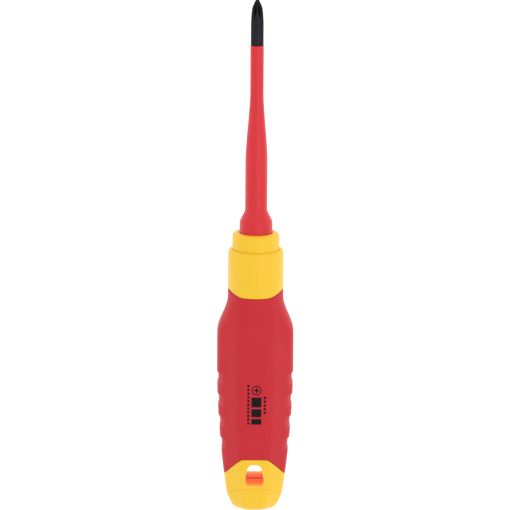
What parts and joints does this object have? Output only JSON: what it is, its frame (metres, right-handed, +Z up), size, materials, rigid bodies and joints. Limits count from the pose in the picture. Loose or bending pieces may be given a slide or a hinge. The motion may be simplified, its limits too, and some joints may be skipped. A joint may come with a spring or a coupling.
{
  "type": "insulated screwdriver",
  "caption": "Slim insulated cross-tip screwdriver with an exchangeable sleeved blade, a sprung release ring and a ribbed two-colour handle with a hanging hole.",
  "frame": {"origin": "on the table under the middle of the tool's length, at the grip's lower flat", "axes": "+X along the tool's axis towards the tip, +Y to the left of the blade, +Z up from the table"},
  "size_m": [0.1884, 0.0274, 0.0275],
  "materials": {
    "blackened_steel": "hardened and blackened",
    "bright_steel": "turned",
    "spring_steel": "drawn wire",
    "red_insulation": "smooth moulded",
    "yellow_plastic": "smooth moulded",
    "red_grip": "soft moulded"
  },
  "bodies": {
    "handle": {"handle_core": "yellow_plastic", "grip_cover": "red_grip", "hex_socket": "bright_steel", "socket_pin": "bright_steel", "thrust_disc": "bright_steel", "lock_clip": "spring_steel", "retaining_ring": "spring_steel", "spring_washer": "bright_steel", "sleeve_spring": "spring_steel"},
    "blade": {"blade_shank": "blackened_steel", "blade_insulation": "red_insulation"},
    "sleeve": {"release_sleeve": "yellow_plastic", "cam_ring": "bright_steel"}
  },
  "joints": [
    {"name": "blade_slide", "type": "slide", "parent": "handle", "child": "blade", "axis": [1, 0, 0], "range_m": [0, 0.055], "deforming": ["lock_clip"]},
    {"name": "sleeve_slide", "type": "slide", "parent": "handle", "child": "sleeve", "axis": [-1, 0, 0], "range_m": [0, 0.003], "stiffness_N_per_m": 900, "springref_m": -0.002, "deforming": ["sleeve_spring"]}
  ]
}
